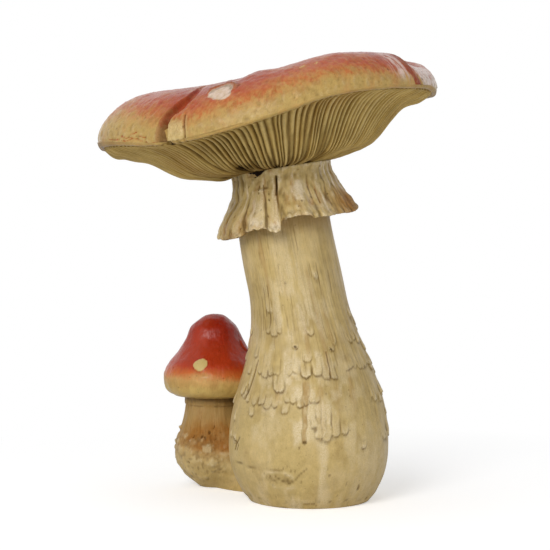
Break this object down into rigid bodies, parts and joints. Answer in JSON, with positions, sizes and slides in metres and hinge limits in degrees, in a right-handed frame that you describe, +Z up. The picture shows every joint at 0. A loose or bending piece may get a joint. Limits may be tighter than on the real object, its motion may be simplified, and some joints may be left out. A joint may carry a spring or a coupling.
{
  "type": "mushroom garden statue",
  "caption": "Free-standing garden statue of a tall toadstool with a wide tilted cap, gills and a ruffled skirt, with a small bell-capped toadstool grown against its foot.",
  "frame": {"origin": "centre of the large stem's foot, on the ground that the statue stands on", "axes": "+Z up, -Y towards the viewer of the picture, +X to the viewer's right, where the wide cap is highest"},
  "size_m": [0.3064, 0.2975, 0.4029],
  "materials": {
    "cream_paint": "cast resin painted cream and ochre, with a brown antiquing wash in the hollows, satin",
    "gill_paint": "cast resin gills painted ochre, with a dark brown wash between them, satin",
    "red_paint": "cast resin airbrushed red on top, fading through orange to cream at the margin, semi-gloss",
    "small_cap_paint": "cast resin airbrushed deep red, fading to cream at the margin, gloss",
    "raw_resin": "unpainted cast resin",
    "zinc_steel": "zinc-plated steel"
  },
  "bodies": {
    "root": {"large_stem": "cream_paint", "large_foot_disc": "raw_resin", "neck_skirt": "cream_paint", "cap_dome": "red_paint", "cap_gill_plate": "gill_paint", "small_stem": "cream_paint", "small_foot_disc": "raw_resin", "small_cap": "small_cap_paint", "small_gill_plate": "gill_paint", "small_cap_pin": "zinc_steel", "bulb_dowel_1": "zinc_steel", "bulb_dowel_2": "zinc_steel", "tie_rod": "zinc_steel", "lower_washer": "zinc_steel", "lower_nut": "zinc_steel", "upper_washer": "zinc_steel", "upper_nut": "zinc_steel"}
  },
  "joints": []
}
